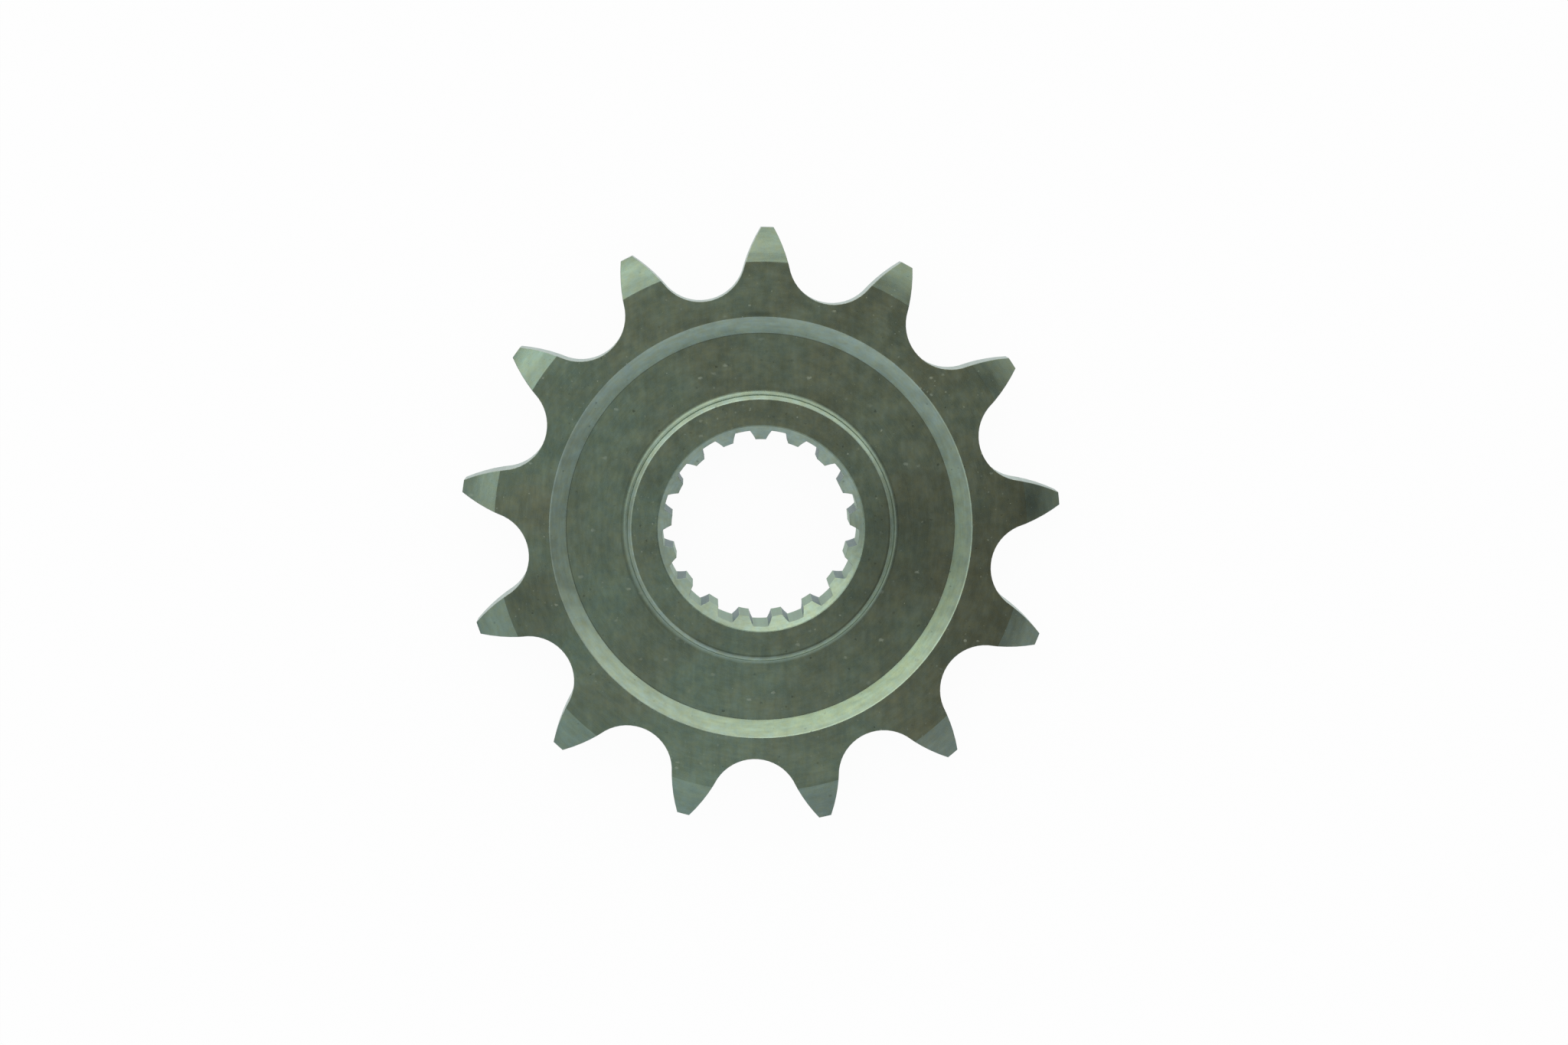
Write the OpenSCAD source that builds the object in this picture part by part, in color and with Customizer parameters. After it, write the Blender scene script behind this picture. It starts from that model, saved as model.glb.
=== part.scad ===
// Front sprocket: one piece of steel, turned to its section, hobbed with
// chain teeth and broached with an involute spline.
// It lies on its rear hub face with the bore axis on Z. The recessed front face is up.

/* [Chain teeth] */
// Number of chain teeth
teeth = 13; // [11:1:17]
// Pitch of the roller chain
chain_pitch = 15.875; // [15.4:0.005:17.5]
// Diameter of the chain's rollers
roller_d = 10.16; // [9.8:0.02:10.4]
// Radial clearance of the seating curve round a roller
seat_clearance = 0.36; // [0.1:0.02:0.4]
// Seating angle of the tooth form, before the share for the number of teeth is taken off
seat_span = 131; // [128:1:138]
// Flank radius, for each millimetre of roller and each tooth
flank_factor = 0.125; // [0.1:0.005:0.14]
// Height of the tooth tips above the pitch circle
tip_height = 3; // [2.2:0.1:3.4]
// How far the teeth are turned clockwise from the spline
tooth_turn = 1.3; // [-8:0.1:8]

/* [Rim] */
// Thickness of the toothed rim
rim_t = 5.85; // [5:0.05:8]
// Radial length of the bevel that thins each tooth towards its tip
bevel_run = 4.1; // [2:0.1:4.6]
// Depth that the bevel takes off each face at the tip
bevel_depth = 0.8; // [0.3:0.05:1.6]
// Flat rim left between the tooth roots and the recess
rim_w = 2.65; // [1.5:0.05:4]

/* [Recess] */
// Depth of the turned recess in the front face
recess_depth = 1.5; // [1.3:0.05:3]
// Radial length of the slope from the recess floor up to the rim
slope_run = 1.9; // [1:0.05:3]
// Corner radius between the recess floor and the slope
slope_foot_r = 0.15; // [0.1:0.05:0.6]

/* [Hub] */
// Wall of the hub outside the spline roots
hub_wall = 4.25; // [3:0.05:5.5]
// Height of the hub above the rim on the front
hub_front = 0.1; // [0:0.05:3]
// Height of the hub above the rim on the rear
hub_rear = 2.7; // [1.6:0.05:6]
// Radial width of the chamfer round the hub's faces
hub_chamfer = 0.45; // [0.3:0.05:0.8]
// Angle of that chamfer from the hub's face
chamfer_angle = 36; // [25:1:50]
// Corner radius where that chamfer meets the hub's side
hub_edge_r = 0.25; // [0.1:0.05:0.4]
// Fillet at the foot of the hub
foot_r = 1; // [0.3:0.05:1.2]
// Angle that the fillet climbs to before it meets the hub's side
foot_angle = 36; // [25:1:80]
// Width of the broken edges of the rim, the hub and the bore's mouth
edge_break = 0.14; // [0.05:0.01:0.2]

/* [Spline bore] */
// Number of spline teeth
spline_teeth = 17; // [14:1:21]
// Pitch diameter of the spline
spline_pitch_d = 23.1; // [21:0.1:25]
// Pressure angle of the spline
pressure_angle = 30; // [25:1:35]
// Height of the spline teeth inside the pitch circle
spline_addendum = 0.78; // [0.4:0.02:1]
// Depth of the spline spaces outside the pitch circle
spline_dedendum = 0.33; // [0.2:0.01:0.6]
// Countersink left outside the spline roots at the bore's mouth
mouth_margin = 0.6; // [0.2:0.05:1]
// Angle of the countersink from the hub's face
mouth_angle = 24; // [12:1:45]

/* [Hidden] */
// Radii of the chain teeth
pitch_r = chain_pitch / (2 * sin(180 / teeth));
root_r = pitch_r - roller_d / 2;
tip_r = pitch_r + tip_height;
bevel_r = tip_r - bevel_run;

// Tooth gap: a seating curve, then a convex flank on each side of it
seat_r = roller_d / 2 + seat_clearance;
seat_y = root_r + seat_r;
seat_half_angle = (seat_span - 90 / teeth) / 2;
flank_r = flank_factor * roller_d * (teeth + 2);
// The flank runs this far into the seating curve, so that the two meet cleanly
flank_lap = 0.006;
flank_reach = seat_r + flank_r - flank_lap;
flank_x = flank_reach * sin(seat_half_angle);
flank_y = seat_y - flank_reach * cos(seat_half_angle);
// How far a cutter runs past what it cuts
overcut = 0.5;
stock_r = tip_r + overcut;

// Radii of the spline
spline_pitch_r = spline_pitch_d / 2;
spline_base_r = spline_pitch_r * cos(pressure_angle);
minor_r = spline_pitch_r - spline_addendum;
major_r = spline_pitch_r + spline_dedendum;
// Points on each side of a spline space
flank_steps = 6;

// Radii of the turned section
recess_r = root_r - rim_w;
web_r = recess_r - slope_run;
hub_r = major_r + hub_wall;
mouth_r = major_r + mouth_margin;
chamfer_depth = hub_chamfer * tan(chamfer_angle);
hub_edge_depth = chamfer_depth + hub_edge_r * tan((90 - chamfer_angle) / 2);
foot_run = foot_r * sin(foot_angle);
slope_angle = atan2(recess_depth, slope_run);
slope_foot_reach = slope_foot_r * tan(slope_angle / 2);
// The countersink's cone is turned on past the spline teeth, to this radius
inner_r = minor_r - overcut;
cone_depth = (mouth_r - inner_r) * tan(mouth_angle);

// Heights from the rear hub face
rear_z = hub_rear;
front_z = rear_z + rim_t;
web_z = front_z - recess_depth;
top_z = front_z + hub_front;

$fn = 180;

// Involute of the angle a, in degrees
function involute(a) = tan(a) * 180 / PI - a;

// Pressure angle at the radius r, nil inside the base circle
function angle_at(r) = acos(min(1, spline_base_r / r));

// Half of the angle that a spline space spans at the radius r
function space_half(r) =
    90 / spline_teeth + involute(pressure_angle) - involute(angle_at(r));

// Point at the radius r and the angle a from +Y, clockwise
function polar(r, a) = [r * sin(a), r * cos(a)];

// Quarter circle of radius r about the centre c, from the angle a on, turning by the sweep
function arc(c, r, a, sweep) =
    [for (i = [0:6]) c + r * [cos(a + sweep * i / 6), sin(a + sweep * i / 6)]];

// Corner p broken by a flat of width edge_break, between the directions a and b
function broken(p, a, b) =
    let (reach = edge_break / (2 * sin(abs(b - a) / 2)))
    [p + reach * [cos(a), sin(a)], p + reach * [cos(b), sin(b)]];

// One tooth gap, centred on +Y
module tooth_gap() {
    meet = [seat_r * sin(seat_half_angle), seat_y - seat_r * cos(seat_half_angle)];
    clear_r = (stock_r + overcut) / cos(180 / teeth);
    translate([0, seat_y])
        circle(r = seat_r);
    difference() {
        polygon([
            [-meet.x, meet.y],
            meet,
            polar(norm(meet), 180 / teeth),
            polar(clear_r, 180 / teeth),
            polar(clear_r, -180 / teeth),
            polar(norm(meet), -180 / teeth)
        ]);
        for (side = [-1, 1])
            translate([side * flank_x, flank_y])
                circle(r = flank_r);
    }
}

// One space between two spline teeth, centred on +Y, before it is trimmed to the major circle
module spline_space() {
    radii = [for (i = [0:flank_steps]) inner_r + (major_r + overcut - inner_r) * i / flank_steps];
    polygon(concat(
        [for (r = radii) polar(r, space_half(r))],
        [for (i = [flank_steps:-1:0]) polar(radii[i], -space_half(radii[i]))]
    ));
}

// Outline of the splined bore, with a spline tooth on +Y
module spline_bore() {
    circle(r = minor_r);
    intersection() {
        circle(r = major_r);
        for (i = [0:spline_teeth - 1])
            rotate(360 / spline_teeth * (i + 0.5))
                spline_space();
    }
}

// Outline of the toothed plate, seen along the bore
module toothed_outline() {
    difference() {
        circle(r = stock_r);
        for (i = [0:teeth - 1])
            rotate(360 / teeth * (i + 0.5) - tooth_turn)
                tooth_gap();
        spline_bore();
    }
}

// Half section that the blank is turned to: radius across, height up
module turned_section() {
    polygon(concat(
        [[inner_r, cone_depth]],
        broken([mouth_r, 0], 180 - mouth_angle, 0),
        broken([hub_r - hub_chamfer, 0], 180, chamfer_angle),
        arc([hub_r - hub_edge_r, hub_edge_depth], hub_edge_r, chamfer_angle - 90, 90 - chamfer_angle),
        arc([hub_r + foot_run, rear_z - foot_r], foot_r, 90 + foot_angle, -foot_angle),
        [[bevel_r, rear_z], [tip_r, rear_z + bevel_depth]],
        [[tip_r, front_z - bevel_depth], [bevel_r, front_z]],
        broken([recess_r, front_z], 0, -180 + slope_angle),
        arc([web_r - slope_foot_reach, web_z + slope_foot_r], slope_foot_r, slope_angle - 90, -slope_angle),
        arc([hub_r + foot_run, web_z + foot_r], foot_r, 270, -foot_angle),
        arc([hub_r - hub_edge_r, top_z - hub_edge_depth], hub_edge_r, 0, 90 - chamfer_angle),
        broken([hub_r - hub_chamfer, top_z], -chamfer_angle, -180),
        broken([mouth_r, top_z], 0, -180 + mouth_angle),
        [[inner_r, top_z - cone_depth]]
    ));
}

// The whole sprocket: the turned blank inside the toothed and splined outline
module front_sprocket() {
    color("dimgray")
        intersection() {
            rotate_extrude()
                turned_section();
            translate([0, 0, -overcut])
                linear_extrude(height = top_z + 2 * overcut)
                    toothed_outline();
        }
}

front_sprocket();
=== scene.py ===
# A front sprocket lying on its rear hub face on a pale table, seen from above.
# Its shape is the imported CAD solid. This script gives it its steel, the light and the camera.
# Lengths are in metres and angles in radians, unless a comment says otherwise.
import math

import bpy
from mathutils import Matrix, Vector

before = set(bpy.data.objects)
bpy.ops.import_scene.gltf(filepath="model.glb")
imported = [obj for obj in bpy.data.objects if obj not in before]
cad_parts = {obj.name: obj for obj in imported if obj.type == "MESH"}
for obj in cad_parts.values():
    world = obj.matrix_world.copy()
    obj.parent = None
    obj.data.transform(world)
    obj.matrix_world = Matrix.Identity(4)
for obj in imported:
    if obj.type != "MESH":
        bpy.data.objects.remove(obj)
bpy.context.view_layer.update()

# Camera
# The photograph looks down the bore from about 400 mm, tipped six degrees towards its
# own top edge. The rim's front face on the bore axis is what the camera is aimed at.
rim_front = Vector((0, 0, 0.00855))
camera_distance = 0.400
lean_x = -0.020
lean_y = 0.1045
# The photo's scale at the rim's front face, its width, and the shift of its middle, in pixels
pixels_per_metre = 10851
photo_width = 2048
shift_right = 30.2
shift_down = 8.25
# Sensor width, in millimetres
sensor_width = 36

view_from = Vector((math.sin(lean_x), math.sin(lean_y), 0))
view_from.z = math.sqrt(1 - view_from.length_squared)
camera_right = Vector((0, 1, 0)).cross(view_from).normalized()
camera_up = view_from.cross(camera_right)

camera_data = bpy.data.cameras.new("camera")
camera_data.sensor_width = sensor_width
camera_data.lens = pixels_per_metre * camera_distance * sensor_width / photo_width
camera_data.shift_x = shift_right / photo_width
camera_data.shift_y = shift_down / photo_width
camera = bpy.data.objects.new("camera", camera_data)
camera.location = rim_front + camera_distance * view_from
camera.rotation_euler = Matrix((camera_right, camera_up, view_from)).transposed().to_euler()
bpy.context.scene.collection.objects.link(camera)
bpy.context.scene.camera = camera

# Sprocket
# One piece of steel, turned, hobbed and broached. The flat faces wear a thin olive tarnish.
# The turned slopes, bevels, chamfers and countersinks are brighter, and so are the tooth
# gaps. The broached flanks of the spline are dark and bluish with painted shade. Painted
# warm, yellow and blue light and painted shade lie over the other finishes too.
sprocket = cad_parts["front_sprocket"]

# Radii from the bore axis, from the inside out, with half the width of each ring and the
# width in which each border fades
spline_flank_r = 0.01130
spline_flank_half = 0.00046
bore_wall_r = 0.0125
bore_wall_fade = 0.0001
hub_rim_r = 0.01558
hub_rim_half = 0.00020
hub_foot_r = 0.01655
hub_foot_half = 0.00038
floor_corner_r = 0.02350
slope_top_r = 0.0253
slope_top_fade = 0.001
tooth_bevel_r = 0.0330
tooth_tip_r = 0.0362
# Directions on the front in which the tarnish gets browner with painted warm light, the
# turned faces yellower with painted yellow light, the tooth bevels bluer with painted blue
# light, and the edge highlights dimmer with painted shade
warm_light_way = (0.80, 0.60, 0)
yellow_light_way = (0.75, -0.66, 0)
blue_light_way = (0.55, -0.83, 0)
shaded_edge_way = (0.90, -0.43, 0)
# Radius that the bevel node gives to every edge, and depth of the tool marks
edge_r = 0.00010
mark_depth = 0.000003
# Height of the soft patches' middles, and the share of their reach that is evenly filled
patch_z = 0.0085
patch_core = 0.2

# Colours of the flat faces, the turned faces and the tooth bevels. The brown tarnish also
# stands for painted warm light, the yellow turning for painted yellow light and the blue
# bevel for painted blue light.
green_tarnish = (0.166, 0.228, 0.164, 1)
brown_tarnish_and_warm_light = (0.190, 0.211, 0.138, 1)
warm_turning = (0.348, 0.432, 0.325, 1)
cool_turning = (0.325, 0.418, 0.345, 1)
yellow_lit_turning = (0.356, 0.458, 0.318, 1)
green_bevel = (0.314, 0.428, 0.342, 1)
blue_lit_bevel = (0.320, 0.435, 0.400, 1)
# Colours of the walls of the tooth gaps, of the bore and of the spline's flanks, the last
# being a painted shade
gap_wall = (0.34, 0.39, 0.37, 1)
bore_wall = (0.24, 0.34, 0.25, 1)
shaded_spline_flank = (0.11, 0.200, 0.205, 1)
# Colours of flecks and of worn edges with a painted highlight, the fine casts over every
# finish, and the tint of a grazing reflection
pale_fleck = (0.42, 0.46, 0.38, 1)
worn_highlit_edge = (0.50, 0.55, 0.52, 1)
blue_cast = (0.972, 1.0, 1.058, 1)
yellow_cast = (1.028, 1.0, 0.942, 1)
reflection_tint = (0.88, 0.97, 0.93, 1)

# Soft patches on the front, each with its x, its y and its reach.
# The last number is how much browner the tarnish is there.
brown_patches = (
    (-0.0283, 0.0030, 0.007, 0.55),
    (-0.0250, 0.0115, 0.006, -0.30),
    (0.0190, -0.0220, 0.009, 0.50),
    (0.0280, -0.0080, 0.012, 0.55),
    (-0.0277, -0.0100, 0.008, 0.50),
    (-0.0185, -0.0205, 0.009, 0.42),
)
# The last number is how light the flat faces are there, where 1 is as elsewhere: lighter
# towards the bottom, darker at the lower left, and darker at the right with painted shade
tone_and_painted_shade_patches = (
    (-0.0020, -0.0310, 0.020, 1.20),
    (0.0285, -0.0075, 0.020, 0.80),
    (0.0130, -0.0060, 0.007, 0.84),
    (-0.0285, -0.0105, 0.009, 0.76),
)
# The last number is how light the steel is there, as painted light and shade: on single
# teeth, on the hub and in the bore's mouth
shade_patches = (
    (0.0162, 0.0010, 0.009, 0.86),
    (0.0345, 0.0033, 0.006, 0.70),
    (0.0078, -0.0342, 0.0035, 0.89),
    (0.0069, -0.0297, 0.0040, 1.06),
    (-0.0204, -0.0227, 0.0050, 0.93),
    (-0.0326, -0.0118, 0.0035, 1.08),
    (-0.0284, 0.0199, 0.0035, 1.06),
    (-0.0157, 0.0309, 0.0035, 0.94),
    (-0.0112, 0.0050, 0.0040, 0.92),
    (0.0121, 0.0013, 0.0030, 0.94),
    (0.0099, -0.0099, 0.0040, 0.91),
)
# A dark scuff on the rim under the top tooth, seven times as wide as it is high
scuff_middle = Vector((-0.0003, 0.02583, patch_z))
scuff_stretch = Vector((1, 7, 1))


def add_node(tree, kind, wires=None, **settings):
    """A node of the kind, with its settings, and its inputs wired or set by name or number."""
    node = tree.nodes.new(kind)
    for name, value in settings.items():
        setattr(node, name, value)
    for name, value in (wires or {}).items():
        if isinstance(value, bpy.types.NodeSocket):
            tree.links.new(value, node.inputs[name])
        else:
            node.inputs[name].default_value = value
    return node


def math_node(tree, operation, first, second=0.0, third=0.0):
    """The output of one Math node."""
    node = add_node(tree, "ShaderNodeMath", {0: first, 1: second, 2: third}, operation=operation)
    return node.outputs[0]


def chain(tree, operation, *numbers):
    """The numbers joined from left to right by one operation, such as ADD."""
    result = numbers[0]
    for number in numbers[1:]:
        result = math_node(tree, operation, result, number)
    return result


def linear(tree, value, slope, start):
    """The value times the slope, plus the start."""
    return math_node(tree, "MULTIPLY_ADD", value, slope, start)


def remap(tree, value, low, high, to_low=0.0, to_high=1.0, kind="LINEAR"):
    """The value carried from one range to another, held at the ends."""
    node = add_node(
        tree,
        "ShaderNodeMapRange",
        {"Value": value, "From Min": low, "From Max": high, "To Min": to_low, "To Max": to_high},
        interpolation_type=kind,
    )
    return node.outputs[0]


def blend_colours(tree, share, first, second):
    """The first colour, giving way to the second as the share rises."""
    # Inputs 6 and 7 of a Mix node, and its output 2, are its colours
    node = add_node(tree, "ShaderNodeMix", {0: share, 6: first, 7: second}, data_type="RGBA")
    return node.outputs[2]


def vector_node(tree, operation, *vectors):
    """One Vector Math node. Its output 0 is a vector, and its output Value is a number."""
    return add_node(tree, "ShaderNodeVectorMath", dict(enumerate(vectors)), operation=operation)


def multiply(tree, first, second):
    """Two vectors multiplied, part by part."""
    return vector_node(tree, "MULTIPLY", first, second).outputs[0]


def scaled(tree, vector, factor):
    """The vector, or colour, times a number."""
    wires = {0: vector, "Scale": factor}
    return add_node(tree, "ShaderNodeVectorMath", wires, operation="SCALE").outputs[0]


def unit(tree, vector):
    """The vector brought to length 1."""
    return vector_node(tree, "NORMALIZE", vector).outputs[0]


def dot(tree, first, second):
    """The dot product of two vectors."""
    return vector_node(tree, "DOT_PRODUCT", first, second).outputs["Value"]


def distance(tree, first, second):
    """How far apart two points are."""
    return vector_node(tree, "DISTANCE", first, second).outputs["Value"]


def across_axis(tree, position):
    """The position without its height, so that it points away from the bore axis."""
    return multiply(tree, position, (1, 1, 0))


def axis_radius(tree, position):
    """Distance from the bore axis."""
    return vector_node(tree, "LENGTH", across_axis(tree, position)).outputs["Value"]


def in_ring(tree, radius, middle_r, half_width):
    """1 in a ring round the bore axis, and 0 elsewhere."""
    return math_node(tree, "COMPARE", radius, middle_r, half_width)


def soft_patch(tree, position, x, y, reach, inside, outside):
    """The inside value at a spot on the front face, passing smoothly to the outside value at its reach."""
    apart = distance(tree, position, (x, y, patch_z))
    return remap(tree, apart, patch_core * reach, reach, inside, outside, kind="SMOOTHSTEP")


def new_group(name, inputs, outputs):
    """An empty shader node group, its input node and its output node."""
    tree = bpy.data.node_groups.new(name, "ShaderNodeTree")
    for label, kind, value in inputs:
        socket = tree.interface.new_socket(label, in_out="INPUT", socket_type=kind)
        if value is not None:
            socket.default_value = value
    for label in outputs:
        tree.interface.new_socket(label, in_out="OUTPUT", socket_type="NodeSocketFloat")
    return tree, tree.nodes.new("NodeGroupInput"), tree.nodes.new("NodeGroupOutput")


def build_ring_marks():
    """Marks of a turning tool: a noise that changes fast with the radius and slowly round the axis.

    The noise is read at (direction from the axis * Sweep, radius / Pitch), so it has no seam.
    """
    tree, given, made = new_group(
        "ring_marks",
        [
            ("Position", "NodeSocketVector", None),
            ("Pitch", "NodeSocketFloat", 0.00016),
            ("Sweep", "NodeSocketFloat", 5.0),
        ],
        ["Height"],
    )
    radius = axis_radius(tree, given.outputs["Position"])
    parts = add_node(tree, "ShaderNodeSeparateXYZ", {0: given.outputs["Position"]}).outputs
    per_radius = math_node(tree, "DIVIDE", given.outputs["Sweep"], radius)
    spot = add_node(
        tree,
        "ShaderNodeCombineXYZ",
        {
            0: math_node(tree, "MULTIPLY", parts["X"], per_radius),
            1: math_node(tree, "MULTIPLY", parts["Y"], per_radius),
            2: math_node(tree, "DIVIDE", radius, given.outputs["Pitch"]),
        },
    )
    marks = add_node(
        tree,
        "ShaderNodeTexNoise",
        {"Vector": spot.outputs[0], "Scale": 1.0, "Detail": 3.0, "Roughness": 0.6},
    )
    tree.links.new(marks.outputs[0], made.inputs["Height"])
    return tree


def build_clouds():
    """Soft patches of tarnish at four sizes, each from 0 to 1."""
    # Each has its label, its noise's scale and detail, and the two noise values that become 0 and 1
    sizes = (
        ("Broad", 110.0, 2.0, 0.40, 0.60),
        ("Middle", 520.0, 3.0, 0.38, 0.62),
        ("Small", 1500.0, 3.0, 0.38, 0.62),
        ("Fine", 4200.0, 2.0, 0.25, 0.75),
    )
    tree, given, made = new_group(
        "tarnish_clouds",
        [("Position", "NodeSocketVector", None)],
        [size[0] for size in sizes],
    )
    for label, scale, detail, low, high in sizes:
        wires = {"Vector": given.outputs["Position"], "Scale": scale, "Detail": detail}
        noise = add_node(tree, "ShaderNodeTexNoise", wires)
        tree.links.new(remap(tree, noise.outputs[0], low, high), made.inputs[label])
    return tree


def build_specks():
    """Sparse flecks: a few cells of a Voronoi pattern, drawn out along X by Stretch and bent by a noise."""
    bend_reach = 0.0003
    tree, given, made = new_group(
        "specks",
        [
            ("Position", "NodeSocketVector", None),
            ("Scale", "NodeSocketFloat", 1200.0),
            ("Stretch", "NodeSocketFloat", 1.0),
            ("Share", "NodeSocketFloat", 0.06),
        ],
        ["Mask"],
    )
    noise = add_node(
        tree,
        "ShaderNodeTexNoise",
        {"Vector": given.outputs["Position"], "Scale": 3500.0, "Detail": 1.0},
    )
    bend = vector_node(tree, "ADD", noise.outputs["Color"], (-0.5, -0.5, -0.5)).outputs[0]
    bend = scaled(tree, bend, bend_reach)
    spot = vector_node(tree, "ADD", given.outputs["Position"], bend).outputs[0]
    per_stretch = math_node(tree, "DIVIDE", 1.0, given.outputs["Stretch"])
    squash = add_node(tree, "ShaderNodeCombineXYZ", {0: per_stretch, 1: 1.0, 2: 1.0})
    spot = multiply(tree, spot, squash.outputs[0])
    cells = add_node(tree, "ShaderNodeTexVoronoi", {"Vector": spot, "Scale": given.outputs["Scale"]})
    # Each cell's random colour decides whether it has a fleck, how bold the fleck is and how big
    cell_colour = add_node(tree, "ShaderNodeSeparateColor", {0: cells.outputs["Color"]})
    chance, boldness, size = cell_colour.outputs
    chosen = math_node(tree, "LESS_THAN", chance, given.outputs["Share"])
    weight = remap(tree, boldness, 0.0, 1.0, 0.25, 1.0)
    reach = remap(tree, size, 0.0, 1.0, 0.10, 0.34)
    near = math_node(tree, "DIVIDE", cells.outputs["Distance"], reach)
    near = remap(tree, near, 0.4, 1.0, 1.0, 0.0, kind="SMOOTHSTEP")
    tree.links.new(chain(tree, "MULTIPLY", chosen, weight, near), made.inputs["Mask"])
    return tree


ring_marks = build_ring_marks()
tarnish_clouds = build_clouds()
specks = build_specks()


def use_group(tree, group, position, **values):
    """A node group's outputs in the tree, read at the position, with its other inputs set by name."""
    node = add_node(tree, "ShaderNodeGroup", node_tree=group)
    tree.links.new(position, node.inputs["Position"])
    for name, value in values.items():
        node.inputs[name].default_value = value
    return node.outputs


steel = bpy.data.materials.new("tarnished_steel")
steel.use_nodes = True
tree = steel.node_tree
tree.nodes.clear()
place = add_node(tree, "ShaderNodeTexCoord").outputs["Object"]
radius = axis_radius(tree, place)
facing = add_node(tree, "ShaderNodeNewGeometry").outputs["True Normal"]
rounded = add_node(tree, "ShaderNodeBevel", {"Radius": edge_r}, samples=6).outputs[0]

# Patterns, from broad clouds to the marks of the turning tool and single flecks
broad, middle, small, fine = use_group(tree, tarnish_clouds, place)
strokes = use_group(tree, tarnish_clouds, multiply(tree, place, (3.0, 0.4, 1.0)))["Middle"]
rings = use_group(tree, ring_marks, place, Pitch=0.00014, Sweep=6.0)["Height"]
streaks = use_group(tree, ring_marks, place, Pitch=0.00030, Sweep=7.0)["Height"]
smears = use_group(tree, ring_marks, place, Pitch=0.00055, Sweep=14.0)["Height"]
pale_flecks = use_group(tree, specks, place, Scale=1100.0, Stretch=1.6, Share=0.10)["Mask"]
pale_dust = use_group(tree, specks, place, Scale=2300.0, Share=0.10)["Mask"]
dark_pits = use_group(tree, specks, place, Scale=1700.0, Stretch=1.3, Share=0.12)["Mask"]
flecks = math_node(tree, "MAXIMUM", pale_flecks, pale_dust)

# Masks. The level is 1 on a flat face, 0.98 on the tooth bevels, under 0.92 on the turned
# slopes, chamfers and countersinks, and 0 on a wall.
level = math_node(tree, "ABSOLUTE", add_node(tree, "ShaderNodeSeparateXYZ", {0: facing}).outputs["Z"])
slanted_share = remap(tree, level, 0.998, 0.983)
steep_share = remap(tree, level, 0.97, 0.95)
wall_share = remap(tree, level, 0.25, 0.15)
bevel_share = math_node(tree, "MULTIPLY", slanted_share, math_node(tree, "SUBTRACT", 1.0, steep_share))
in_foot = in_ring(tree, radius, hub_foot_r, hub_foot_half)
# The hub's foot fillet takes only half the turned colour, a painted shade in that corner
turned_share = math_node(tree, "MULTIPLY", steep_share, linear(tree, in_foot, -0.5, 1.0))
in_bore = remap(tree, radius, bore_wall_r, bore_wall_r - bore_wall_fade)
bore_share = math_node(tree, "MULTIPLY", wall_share, in_bore)
on_flank = in_ring(tree, radius, spline_flank_r, spline_flank_half)
shaded_flank_share = math_node(tree, "MULTIPLY", bore_share, on_flank)
towards_blue_light = dot(tree, place, blue_light_way)

# The tarnish of the flat faces varies between green and brown in patches, and painted
# warm light makes it browner towards the upper right
brown_and_warm_light_share = chain(
    tree,
    "ADD",
    linear(tree, dot(tree, place, warm_light_way), 13.0, 0.40),
    remap(tree, broad, 0.0, 1.0, -0.17, 0.17),
    remap(tree, middle, 0.0, 1.0, -0.10, 0.10),
    *(soft_patch(tree, place, *patch, 0.0) for patch in brown_patches),
)
# Noise and the patches set the flat faces' tone, with painted shade at the right
tarnish_tone_and_painted_shade = chain(
    tree,
    "MULTIPLY",
    linear(tree, middle, 0.12, 0.94),
    linear(tree, broad, -0.10, 1.05),
    linear(tree, strokes, 0.10, 0.95),
    *(soft_patch(tree, place, *patch, 1.0) for patch in tone_and_painted_shade_patches),
)
tarnish_with_painted_light = scaled(tree, blend_colours(tree, brown_and_warm_light_share, green_tarnish, brown_tarnish_and_warm_light), tarnish_tone_and_painted_shade)

# The turned faces are banded by the tool. Painted yellow light makes them yellower at the
# lower right, but less so at the top of the slope.
turning = blend_colours(tree, remap(tree, smears, 0.35, 0.65), warm_turning, cool_turning)
yellow_light_share = remap(tree, dot(tree, place, yellow_light_way), 0.005, 0.021)
below_top = remap(tree, radius, slope_top_r - slope_top_fade, slope_top_r, 1.0, 0.45)
yellow_light_share = math_node(tree, "MULTIPLY", yellow_light_share, below_top)
turning = blend_colours(tree, yellow_light_share, turning, yellow_lit_turning)
# Painted blue light makes the tooth bevels bluer towards the lower right
bevel = blend_colours(tree, remap(tree, towards_blue_light, 0.023, 0.036), green_bevel, blue_lit_bevel)
wall = blend_colours(tree, bore_share, gap_wall, bore_wall)
# The spline's flanks take a dark bluish painted shade
wall = blend_colours(tree, shaded_flank_share, wall, shaded_spline_flank)
colour = blend_colours(tree, math_node(tree, "MULTIPLY", slanted_share, 0.35), tarnish_with_painted_light, bevel)
colour = blend_colours(tree, turned_share, colour, turning)
colour = blend_colours(tree, wall_share, colour, wall)

# Painted shade darkens the hub's rim at the lower right and the hub's foot at the left
in_hub_rim = in_ring(tree, radius, hub_rim_r, hub_rim_half)
painted_rim_and_foot_shade = math_node(tree, "MULTIPLY", in_hub_rim, remap(tree, towards_blue_light, 0.002, 0.009, 0.0, 0.26))
across = add_node(tree, "ShaderNodeSeparateXYZ", {0: place}).outputs["X"]
painted_rim_and_foot_shade = linear(tree, in_foot, remap(tree, across, -0.006, -0.014, 0.0, 0.16), painted_rim_and_foot_shade)
# Where Y counts sevenfold, the distance to the scuff's middle draws it long and low
to_scuff = distance(tree, multiply(tree, place, scuff_stretch), scuff_stretch * scuff_middle)
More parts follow.
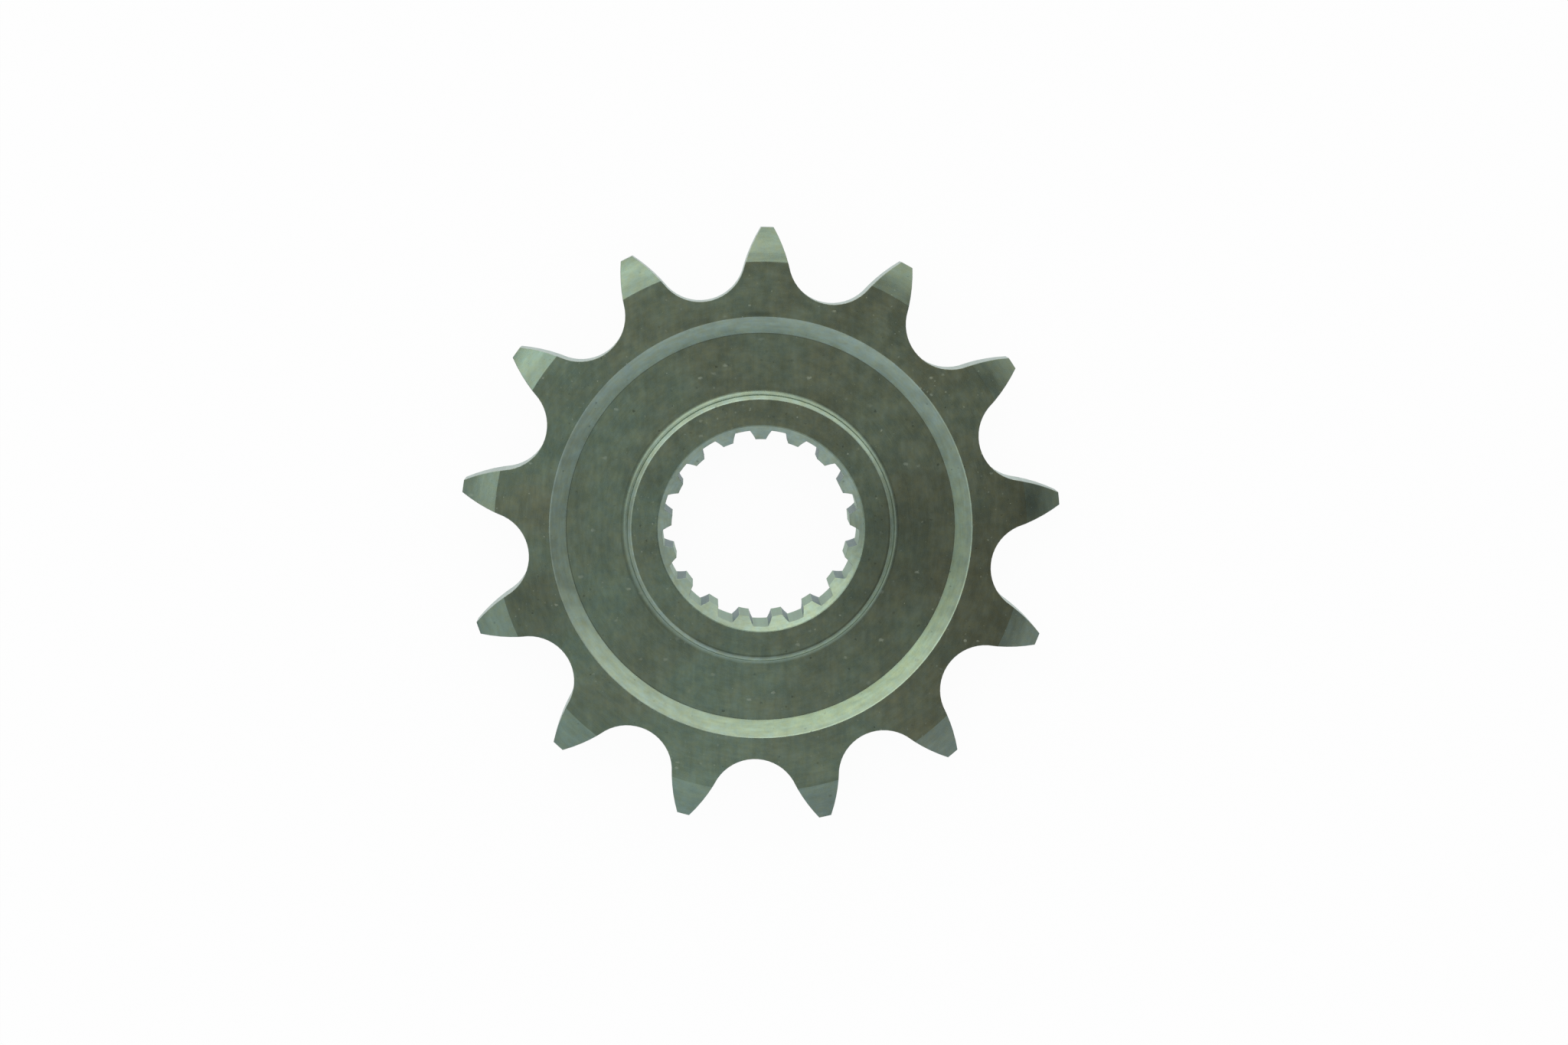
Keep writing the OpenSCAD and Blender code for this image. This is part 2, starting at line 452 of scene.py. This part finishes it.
# Tool marks, pits and the scuff, together with painted shade and painted light from the patches
shade = chain(
    tree,
    "MULTIPLY",
    remap(tree, smears, 0.3, 0.7, 0.91, 1.09),
    remap(tree, fine, 0.0, 1.0, 0.97, 1.03),
    linear(tree, dark_pits, -0.40, 1.0),
    linear(tree, turned_share, remap(tree, middle, 0.0, 1.0, -0.08, 0.08), 1.0),
    math_node(tree, "SUBTRACT", 1.0, painted_rim_and_foot_shade),
    *(soft_patch(tree, place, *patch, 1.0) for patch in shade_patches),
    remap(tree, to_scuff, 0.0006, 0.0028, 0.74, 1.0, kind="SMOOTHSTEP"),
    linear(tree, turned_share, remap(tree, streaks, 0.35, 0.65, -0.06, 0.06), 1.0),
)
colour = scaled(tree, colour, shade)
colour = multiply(tree, colour, blend_colours(tree, small, blue_cast, yellow_cast))
colour = blend_colours(tree, math_node(tree, "MULTIPLY", flecks, 0.38), colour, pale_fleck)

# Edges are worn bright, with a painted highlight, where the rounded normal leaves the face's
# own, and painted shade dims them towards the right
wear_and_highlight_share = chain(
    tree,
    "MULTIPLY",
    remap(tree, dot(tree, rounded, facing), 0.995, 0.93),
    remap(tree, middle, 0.0, 1.0, 0.35, 0.9),
    remap(tree, dot(tree, place, shaded_edge_way), 0.006, 0.014, 1.0, 0.36),
)
colour = blend_colours(tree, wear_and_highlight_share, colour, worn_highlit_edge)

# A thin dark line of painted shade lies in the corner where the recess floor meets the slope
off_corner = math_node(tree, "ABSOLUTE", math_node(tree, "SUBTRACT", radius, floor_corner_r))
colour = scaled(tree, colour, remap(tree, off_corner, 0.00003, 0.00012, 0.70, 1.0))

roughness = remap(tree, middle, 0.0, 1.0, 0.25, 0.30)
for share, rise in ((turned_share, 0.05), (flecks, 0.25), (bore_share, 0.12)):
    roughness = linear(tree, share, rise, roughness)
metal = linear(tree, bore_share, -0.25, 1.0)
metal = linear(tree, shaded_flank_share, -0.45, metal)
height = rings
for mark, rise in ((fine, 0.3), (flecks, 1.2), (dark_pits, -1.5)):
    height = linear(tree, mark, rise, height)

# The tooth bevels swell slightly: their normals turn outwards, the more the nearer the tip
swell = remap(tree, radius, tooth_bevel_r, tooth_tip_r, -0.05, 0.22)
swell = math_node(tree, "MULTIPLY", bevel_share, swell)
swell = scaled(tree, unit(tree, across_axis(tree, place)), swell)
normal = unit(tree, vector_node(tree, "ADD", rounded, swell).outputs[0])
bump = add_node(
    tree,
    "ShaderNodeBump",
    {"Strength": 1.0, "Distance": mark_depth, "Height": height, "Normal": normal},
)
shader = add_node(
    tree,
    "ShaderNodeBsdfPrincipled",
    {
        "Base Color": colour,
        "Metallic": metal,
        "Roughness": roughness,
        "Specular Tint": reflection_tint,
        "Normal": bump.outputs[0],
    },
)
add_node(tree, "ShaderNodeOutputMaterial", {"Surface": shader.outputs[0]})
sprocket.material_slots[0].material = steel

# Table
# A plain pale sheet. Seen straight, in a mirror or through glass it is white, and it
# keeps the sprocket's soft shadow.
table_reach = 20
white_share = 0.96
table_mesh = bpy.data.meshes.new("table")
corners = [(x * table_reach, y * table_reach, 0) for x, y in ((-1, -1), (1, -1), (1, 1), (-1, 1))]
table_mesh.from_pydata(corners, [], [(0, 1, 2, 3)])
table = bpy.data.objects.new("table", table_mesh)
bpy.context.scene.collection.objects.link(table)
white = bpy.data.materials.new("pale_table")
white.use_nodes = True
tree = white.node_tree
tree.nodes.clear()
rays = add_node(tree, "ShaderNodeLightPath").outputs
seen = chain(tree, "MAXIMUM", rays["Is Camera Ray"], rays["Is Glossy Ray"], rays["Is Transmission Ray"])
sheet = add_node(tree, "ShaderNodeBsdfDiffuse", {"Color": (0.9, 0.9, 0.9, 1)})
glow = add_node(tree, "ShaderNodeEmission", {"Color": (1, 1, 1, 1), "Strength": 1.0})
shown = add_node(
    tree,
    "ShaderNodeMixShader",
    {0: math_node(tree, "MULTIPLY", seen, white_share), 1: sheet.outputs[0], 2: glow.outputs[0]},
)
add_node(tree, "ShaderNodeOutputMaterial", {"Surface": shown.outputs[0]})
table_mesh.materials.append(white)

# Light
# One soft box, high up towards the top left of the photograph, in a pale room. The room's
# wall beyond the photograph's top is bright. Its other walls are darker, and so is its
# ceiling, where the camera is.
box_distance = 1.0
box_direction = Vector((-0.28, 0.34, 0.90)).normalized()
box_data = bpy.data.lights.new("soft_box", "AREA")
box_data.shape = "RECTANGLE"
box_data.size = 0.75
box_data.size_y = 0.50
box_data.energy = 1.05
soft_box = bpy.data.objects.new("soft_box", box_data)
soft_box.location = box_distance * box_direction
soft_box.rotation_euler = box_direction.to_track_quat("Z", "Y").to_euler()
bpy.context.scene.collection.objects.link(soft_box)

room = bpy.data.worlds.new("room")
bpy.context.scene.world = room
room.use_nodes = True
tree = room.node_tree
tree.nodes.clear()
direction = add_node(tree, "ShaderNodeTexCoord").outputs["Generated"]
x, y, z = add_node(tree, "ShaderNodeSeparateXYZ", {0: direction}).outputs
cool_light = (0.97, 1.0, 1.10, 1)
warm_light = (1.0, 1.0, 0.96, 1)

# The bright wall is brighter low down, above all on the left
bright_share = remap(tree, y, 0.12, 0.60, kind="SMOOTHSTEP")
bright_low = remap(tree, x, -0.7, 0.7, 1.44, 1.12)
bright_wall = remap(tree, z, 0.10, 0.50, bright_low, 1.10)

# The other walls are darkest nearly overhead. Each further step changes them along one axis.
darkest_way = (0.30, -0.03, 0.953)
to_dark = distance(tree, direction, darkest_way)
low_right = remap(tree, x, 0.60, 0.98, 1.25, 0.32)
dark_walls = chain(
    tree,
    "MULTIPLY",
    remap(tree, to_dark, 0.13, 0.44, 0.18, 0.60, kind="SMOOTHSTEP"),
    remap(tree, y, -0.05, -0.20, 1.0, 1.24),
    remap(tree, y, -0.22, -0.55, 1.0, 0.81),
    remap(tree, x, -0.10, -0.40, 1.0, 1.15),
    remap(tree, x, -0.45, -0.90, 1.0, 0.60),
    remap(tree, z, 0.14, 0.70, low_right, 1.0),
)
# Inputs 2 and 3 of a Mix node, and its output 0, are its numbers
strength = add_node(tree, "ShaderNodeMix", {0: bright_share, 2: dark_walls, 3: bright_wall}).outputs[0]
tint = blend_colours(tree, remap(tree, y, -0.8, 0.6), cool_light, warm_light)
air = add_node(tree, "ShaderNodeBackground", {"Color": tint, "Strength": strength})
add_node(tree, "ShaderNodeOutputWorld", {"Surface": air.outputs[0]})

bpy.context.scene.view_settings.view_transform = "Standard"
